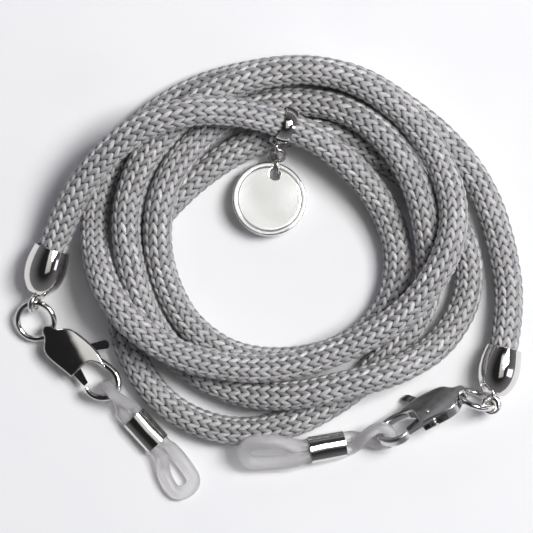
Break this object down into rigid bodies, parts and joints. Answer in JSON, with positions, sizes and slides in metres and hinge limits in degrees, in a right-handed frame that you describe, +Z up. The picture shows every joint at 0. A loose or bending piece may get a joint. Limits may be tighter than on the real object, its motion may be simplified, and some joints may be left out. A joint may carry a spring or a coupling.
{
  "type": "eyeglass retainer strap",
  "caption": "Braided round cord with a barrel cap, jump ring, lobster clasp and adjustable silicone temple loop at each end, and a round metal charm hanging from a sliding bail.",
  "frame": {"origin": "middle of the underside of the metal and silicone pieces as the strap lies coiled on a table", "axes": "+X towards the cord's right-hand end, +Y away from the viewer across the coil, +Z up from the table"},
  "size_m": [0.0809, 0.0706, 0.0145],
  "materials": {
    "braid": "matte",
    "bright_metal": "polished",
    "polished_tag": "mirror polished",
    "silicone": "satin",
    "glue": "gloss",
    "spring_steel": "satin"
  },
  "bodies": {
    "strap": {"cord": "braid", "left_end_cap": "bright_metal", "right_end_cap": "bright_metal", "left_cap_glue": "glue", "right_cap_glue": "glue", "left_cap_eye": "bright_metal", "right_cap_eye": "bright_metal"},
    "left_ring": {"left_jump_ring": "bright_metal"},
    "left_clasp": {"left_clasp_body": "bright_metal", "left_clasp_pin": "bright_metal", "left_clasp_spring": "spring_steel"},
    "left_lever": {"left_clasp_lever": "bright_metal"},
    "left_loop": {"left_silicone_loop": "silicone"},
    "left_tube": {"left_ferrule": "bright_metal"},
    "right_ring": {"right_jump_ring": "bright_metal"},
    "right_clasp": {"right_clasp_body": "bright_metal", "right_clasp_pin": "bright_metal", "right_clasp_spring": "spring_steel"},
    "right_lever": {"right_clasp_lever": "bright_metal"},
    "right_loop": {"right_silicone_loop": "silicone"},
    "right_tube": {"right_ferrule": "bright_metal"},
    "bail": {"charm_bail": "bright_metal"},
    "link_upper": {"charm_link_upper": "bright_metal"},
    "link_lower": {"charm_link_lower": "bright_metal"},
    "tag_ring": {"charm_tag_ring": "bright_metal"},
    "tag": {"charm_tag": "polished_tag"}
  },
  "joints": [
    {"name": "left_ring_swing", "type": "hinge", "parent": "strap", "child": "left_ring", "pos_m": [-0.03704, -0.00001, 0.0028], "axis": [0.987, 0.0162, 0.1602], "range_deg": [-30, 30]},
    {"name": "left_clasp_swing", "type": "hinge", "parent": "left_ring", "child": "left_clasp", "pos_m": [-0.03455, -0.00468, 0.0021], "axis": [0.6712, 0.7413, 0], "range_deg": [-40, 40]},
    {"name": "left_lever_turn", "type": "hinge", "parent": "left_clasp", "child": "left_lever", "pos_m": [-0.03128, -0.0094, 0.00235], "axis": [-0.0334, 0.0302, 0.999], "range_deg": [0, 30], "stiffness_Nm_per_rad": 0.001},
    {"name": "left_loop_swing", "type": "hinge", "parent": "left_clasp", "child": "left_loop", "pos_m": [-0.02445, -0.0145, 0.00274], "axis": [0.6712, 0.7413, 0], "range_deg": [-30, 30]},
    {"name": "left_ferrule_slide", "type": "slide", "parent": "left_loop", "child": "left_tube", "axis": [0.6728, -0.7399, 0], "range_m": [-0.0002, 0.0006]},
    {"name": "right_ring_swing", "type": "hinge", "parent": "strap", "child": "right_ring", "pos_m": [0.03556, -0.01616, 0.0036], "axis": [-0.0343, 0.3759, -0.926], "range_deg": [-30, 0]},
    {"name": "right_clasp_swing", "type": "hinge", "parent": "right_ring", "child": "right_clasp", "pos_m": [0.0302, -0.01443, 0.0045], "axis": [-0.2697, 0.5853, -0.7647], "range_deg": [-40, 0]},
    {"name": "right_lever_turn", "type": "hinge", "parent": "right_clasp", "child": "right_lever", "pos_m": [0.02565, -0.01788, 0.00516], "axis": [0.403, -0.6526, -0.6416], "range_deg": [0, 30], "stiffness_Nm_per_rad": 0.001},
    {"name": "right_loop_swing", "type": "hinge", "parent": "right_clasp", "child": "right_loop", "pos_m": [0.01784, -0.02115, 0.00358], "axis": [-0.2697, 0.5853, -0.7647], "range_deg": [-30, 0]},
    {"name": "right_ferrule_slide", "type": "slide", "parent": "right_loop", "child": "right_tube", "axis": [-0.9645, -0.1766, 0.1962], "range_m": [-0.0002, 0.0006]},
    {"name": "bail_turn", "type": "hinge", "parent": "strap", "child": "bail", "pos_m": [0.00279, 0.02815, 0.00819], "axis": [0.9111, -0.3442, -0.2266], "range_deg": [-40, 5]},
    {"name": "link_upper_swing", "type": "hinge", "parent": "bail", "child": "link_upper", "pos_m": [0.00138, 0.02522, 0.0054], "axis": [-0.9997, -0.0236, 0], "range_deg": [-10, 25]},
    {"name": "link_lower_swing", "type": "hinge", "parent": "link_upper", "child": "link_lower", "pos_m": [0.00141, 0.02385, 0.00396], "axis": [0.017, -0.7238, 0.6898], "range_deg": [-25, 25]},
    {"name": "tag_ring_swing", "type": "hinge", "parent": "link_lower", "child": "tag_ring", "pos_m": [0.00145, 0.02248, 0.00253], "axis": [-0.9997, -0.0236, 0], "range_deg": [-10, 20]},
    {"name": "tag_swing", "type": "hinge", "parent": "tag_ring", "child": "tag", "pos_m": [0.0015, 0.02032, 0.00172], "axis": [0.0024, -0.1009, 0.9949], "range_deg": [-18, 25]}
  ]
}
